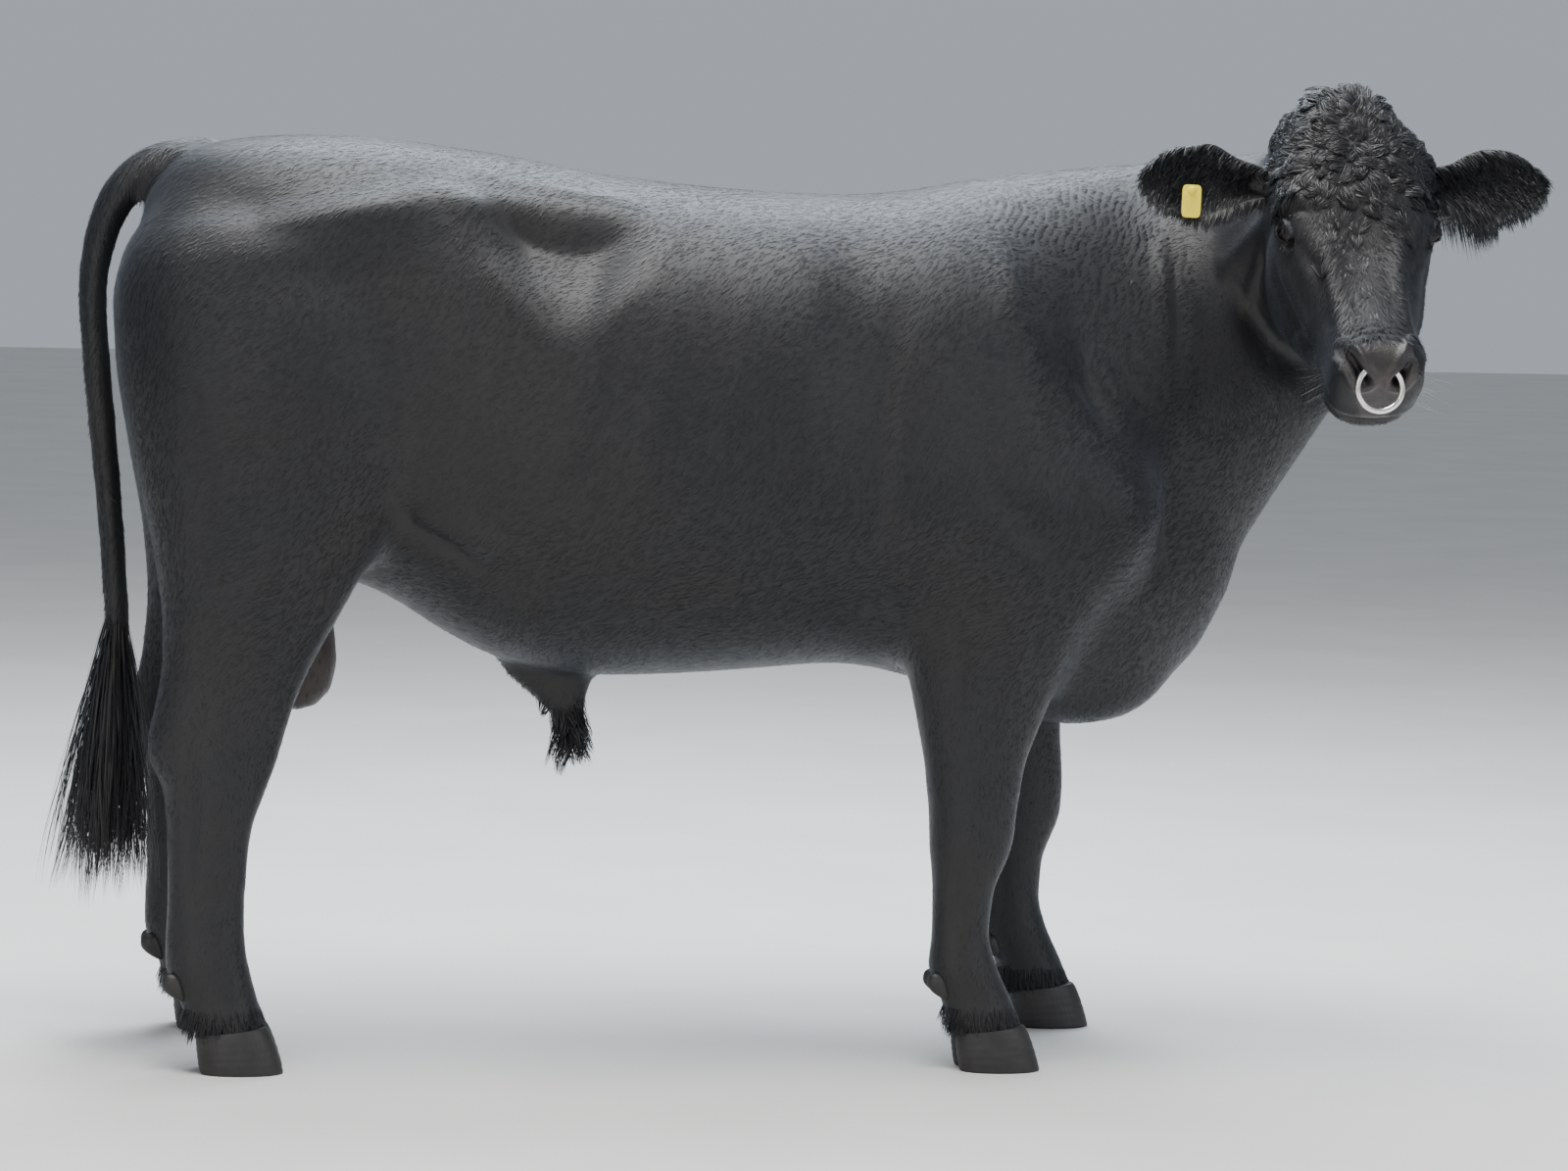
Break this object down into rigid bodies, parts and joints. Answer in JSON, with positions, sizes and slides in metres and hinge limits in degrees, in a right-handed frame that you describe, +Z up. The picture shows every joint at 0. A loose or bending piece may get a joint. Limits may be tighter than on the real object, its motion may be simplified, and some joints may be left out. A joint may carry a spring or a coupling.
{
  "type": "black angus bull",
  "caption": "Standing black Angus bull, life size, head turned to its right, with a nose ring and a blank ear tag.",
  "frame": {"origin": "on the floor, under the middle of the animal's overall box", "axes": "+X towards the chest along the body, +Y to the bull's left, +Z up"},
  "size_m": [2.2565, 0.9096, 1.5266],
  "materials": {
    "coat": "short black coat with a cool sheen",
    "long_hair": "long black hair",
    "bare_skin": "thin dark skin with sparse hair",
    "hoof_horn": "dull dark horn",
    "eye": "wet, dark",
    "ring_metal": "pale polished metal",
    "tag_plastic": "yellow, slightly soiled"
  },
  "bodies": {
    "root": {"torso": "coat", "neck": "coat", "head": "coat", "leg_fore_right": "coat", "leg_fore_left": "coat", "leg_hind_right": "coat", "leg_hind_left": "coat", "ear_right": "coat", "ear_left": "coat", "tail": "coat", "tail_switch": "long_hair", "sheath": "coat", "scrotum": "bare_skin", "eye_right": "eye", "eye_left": "eye", "nose_ring": "ring_metal", "ear_tag": "tag_plastic", "claw_fore_right_outer": "hoof_horn", "claw_fore_right_inner": "hoof_horn", "claw_fore_left_outer": "hoof_horn", "claw_fore_left_inner": "hoof_horn", "claw_hind_right_outer": "hoof_horn", "claw_hind_right_inner": "hoof_horn", "claw_hind_left_outer": "hoof_horn", "claw_hind_left_inner": "hoof_horn", "dewclaw_fore_right_outer": "hoof_horn", "dewclaw_fore_right_inner": "hoof_horn", "dewclaw_fore_left_outer": "hoof_horn", "dewclaw_fore_left_inner": "hoof_horn", "dewclaw_hind_right_outer": "hoof_horn", "dewclaw_hind_right_inner": "hoof_horn", "dewclaw_hind_left_outer": "hoof_horn", "dewclaw_hind_left_inner": "hoof_horn"}
  },
  "joints": []
}
